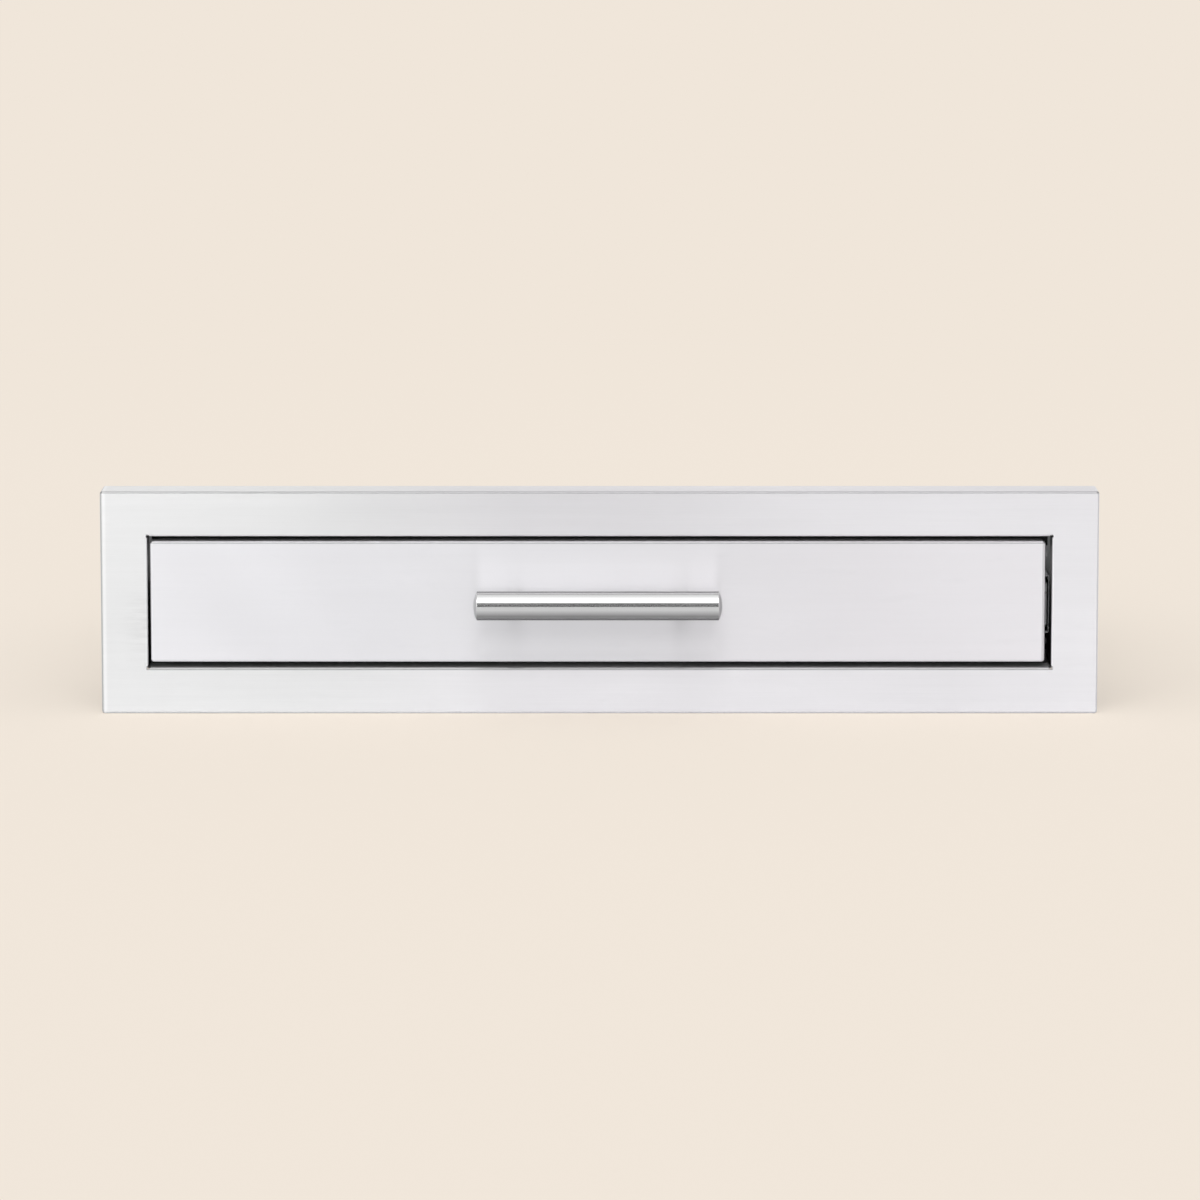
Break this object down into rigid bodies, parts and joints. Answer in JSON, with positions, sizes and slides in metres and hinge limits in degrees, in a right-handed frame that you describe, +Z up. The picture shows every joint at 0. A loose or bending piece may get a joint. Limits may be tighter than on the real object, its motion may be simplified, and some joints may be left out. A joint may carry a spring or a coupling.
{
  "type": "outdoor kitchen drawer unit",
  "caption": "Low wide stainless drawer unit for building into an outdoor kitchen island, with a raised face frame, a flush front with a bar handle, and full-extension ball slides.",
  "frame": {"origin": "on the underside of the housing, on the middle plane, level with the plane where the back of the face frame seats on the island", "axes": "+X to the right seen from the front, +Y from the island's face into the housing, +Z up. The drawer slides out along -Y"},
  "size_m": [0.762, 0.4977, 0.1715],
  "materials": {
    "frame_steel": "stainless steel, fine grain brushed along the width",
    "front_steel": "stainless steel, fine grain brushed along the width",
    "handle_steel": "stainless steel bar, satin",
    "housing_steel": "stainless sheet, dull mill finish with spot welds",
    "box_steel": "stainless sheet, fine brushed",
    "slide_steel": "rolled stainless strip, semi-bright, greased",
    "cage_steel": "thin rolled strip",
    "ball_steel": "polished bearing balls",
    "fastener_steel": "stainless, plain",
    "black_rubber": "moulded, matte",
    "black_plastic": "moulded, matte"
  },
  "bodies": {
    "housing": {"face_frame": "frame_steel", "front_stop_bumpers": "black_rubber", "housing_cradle": "housing_steel", "housing_back": "housing_steel", "housing_back_rivets": "fastener_steel", "slide_wall_rivets": "fastener_steel", "slide_rear_buffers": "black_rubber", "left_slide_outer_member": "slide_steel", "right_slide_outer_member": "slide_steel"},
    "drawer": {"front_skin": "front_steel", "front_liner": "box_steel", "front_weld_nuts": "fastener_steel", "front_fixing_screws": "fastener_steel", "drawer_tray": "box_steel", "drawer_box_front": "box_steel", "drawer_box_back": "box_steel", "drawer_box_rivets": "fastener_steel", "inner_member_screws": "fastener_steel", "lever_pins": "fastener_steel", "handle_bar": "handle_steel", "left_handle_post": "handle_steel", "right_handle_post": "handle_steel", "handle_screws": "fastener_steel", "handle_washers": "fastener_steel", "handle_spacer_sleeves": "fastener_steel", "left_slide_inner_member": "slide_steel", "right_slide_inner_member": "slide_steel"},
    "left_slide_middle": {"left_slide_middle_member": "slide_steel"},
    "left_outer_cage": {"left_outer_ball_cage": "cage_steel", "left_outer_balls": "ball_steel"},
    "left_inner_cage": {"left_inner_ball_cage": "cage_steel", "left_inner_balls": "ball_steel"},
    "left_lever": {"left_release_lever": "black_plastic"},
    "right_slide_middle": {"right_slide_middle_member": "slide_steel"},
    "right_outer_cage": {"right_outer_ball_cage": "cage_steel", "right_outer_balls": "ball_steel"},
    "right_inner_cage": {"right_inner_ball_cage": "cage_steel", "right_inner_balls": "ball_steel"},
    "right_lever": {"right_release_lever": "black_plastic"}
  },
  "joints": [
    {"name": "drawer_slide", "type": "slide", "parent": "housing", "child": "drawer", "axis": [0, -1, 0], "range_m": [0, 0.4]},
    {"name": "left_middle_slide", "type": "slide", "parent": "housing", "child": "left_slide_middle", "axis": [0, -1, 0], "range_m": [0, 0.2]},
    {"name": "left_outer_cage_slide", "type": "slide", "parent": "housing", "child": "left_outer_cage", "axis": [0, -1, 0], "range_m": [0, 0.1]},
    {"name": "left_inner_cage_slide", "type": "slide", "parent": "housing", "child": "left_inner_cage", "axis": [0, -1, 0], "range_m": [0, 0.3]},
    {"name": "left_lever_pivot", "type": "hinge", "parent": "drawer", "child": "left_lever", "pos_m": [-0.3375, 0.18, 0.046], "axis": [-1, 0, 0], "range_deg": [0, 8], "stiffness_Nm_per_rad": 0.05},
    {"name": "right_middle_slide", "type": "slide", "parent": "housing", "child": "right_slide_middle", "axis": [0, -1, 0], "range_m": [0, 0.2]},
    {"name": "right_outer_cage_slide", "type": "slide", "parent": "housing", "child": "right_outer_cage", "axis": [0, -1, 0], "range_m": [0, 0.1]},
    {"name": "right_inner_cage_slide", "type": "slide", "parent": "housing", "child": "right_inner_cage", "axis": [0, -1, 0], "range_m": [0, 0.3]},
    {"name": "right_lever_pivot", "type": "hinge", "parent": "drawer", "child": "right_lever", "pos_m": [0.3375, 0.18, 0.046], "axis": [1, 0, 0], "range_deg": [0, 8], "stiffness_Nm_per_rad": 0.05}
  ],
  "couplings": [
    {"joint": "left_middle_slide", "follows": "drawer_slide", "ratio": 0.5},
    {"joint": "left_outer_cage_slide", "follows": "drawer_slide", "ratio": 0.25},
    {"joint": "left_inner_cage_slide", "follows": "drawer_slide", "ratio": 0.75},
    {"joint": "right_middle_slide", "follows": "drawer_slide", "ratio": 0.5},
    {"joint": "right_outer_cage_slide", "follows": "drawer_slide", "ratio": 0.25},
    {"joint": "right_inner_cage_slide", "follows": "drawer_slide", "ratio": 0.75}
  ]
}
